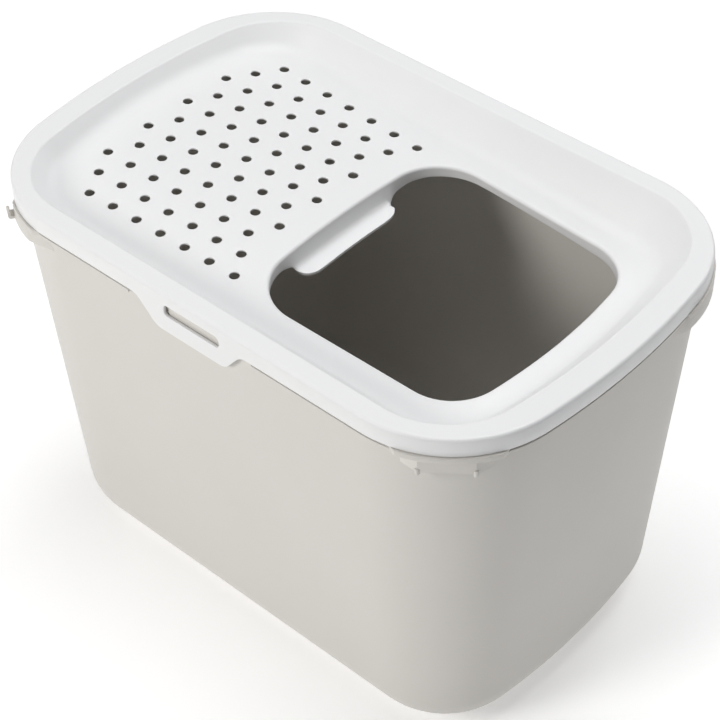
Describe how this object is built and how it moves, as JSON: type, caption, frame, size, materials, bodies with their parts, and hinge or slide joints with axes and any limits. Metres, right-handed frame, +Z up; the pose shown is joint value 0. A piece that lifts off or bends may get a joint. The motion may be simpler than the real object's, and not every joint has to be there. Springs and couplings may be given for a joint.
{
  "type": "top entry litter box",
  "caption": "Deep tapered plastic bin under a hinged, dished lid with a square entry opening, a hand grip, a field of small vents and a front latch tab.",
  "frame": {"origin": "middle of the bin's base, on the floor", "axes": "+X along the length towards the entry opening's end, -Y to the front with the latch, +Z up"},
  "size_m": [0.58, 0.3975, 0.395],
  "materials": {
    "bin_plastic": "fine satin, warm light grey",
    "lid_plastic": "fine satin, white",
    "pin_plastic": "smooth, off-white"
  },
  "bodies": {
    "bin_body": {"bin": "bin_plastic", "hinge_pin_left": "pin_plastic", "hinge_pin_right": "pin_plastic"},
    "lid_body": {"lid": "lid_plastic"}
  },
  "joints": [
    {"name": "lid_hinge", "type": "hinge", "parent": "bin_body", "child": "lid_body", "pos_m": [0, 0.197, 0.367], "axis": [-1, 0, 0], "range_deg": [0, 110]}
  ]
}
